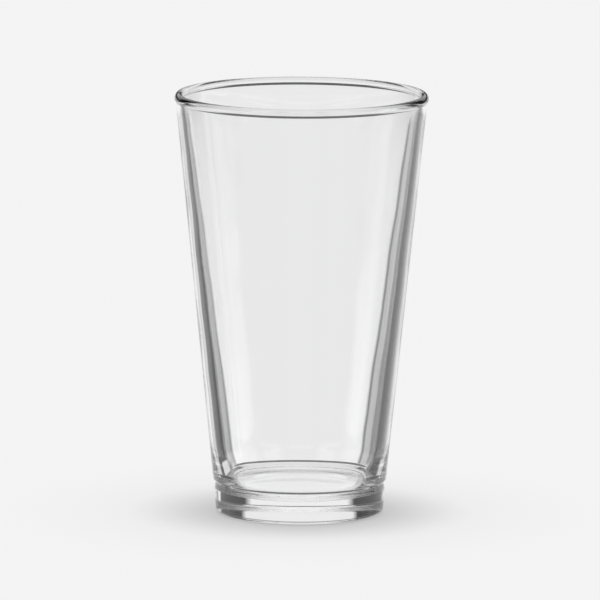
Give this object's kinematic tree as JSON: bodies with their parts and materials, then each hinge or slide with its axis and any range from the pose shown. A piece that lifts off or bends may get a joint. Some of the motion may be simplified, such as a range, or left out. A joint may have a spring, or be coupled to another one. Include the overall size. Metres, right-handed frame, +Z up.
{
  "type": "shaker pint glass",
  "caption": "Clear tapered shaker pint glass with a beaded rim, a wall that thickens towards a heavy base, and a short foot band under a fine groove, with a very shallow hollow underneath.",
  "frame": {"origin": "middle of the flat ring that the glass rests on, on the glass's axis", "axes": "+Z up along the axis of the glass, towards the rim; the glass is round, so X and Y are any two level directions"},
  "size_m": [0.089, 0.089, 0.1482],
  "materials": {
    "clear_glass": "clear soda-lime glass, smooth and fire-polished"
  },
  "bodies": {
    "root": {"pint_glass": "clear_glass"}
  },
  "joints": []
}
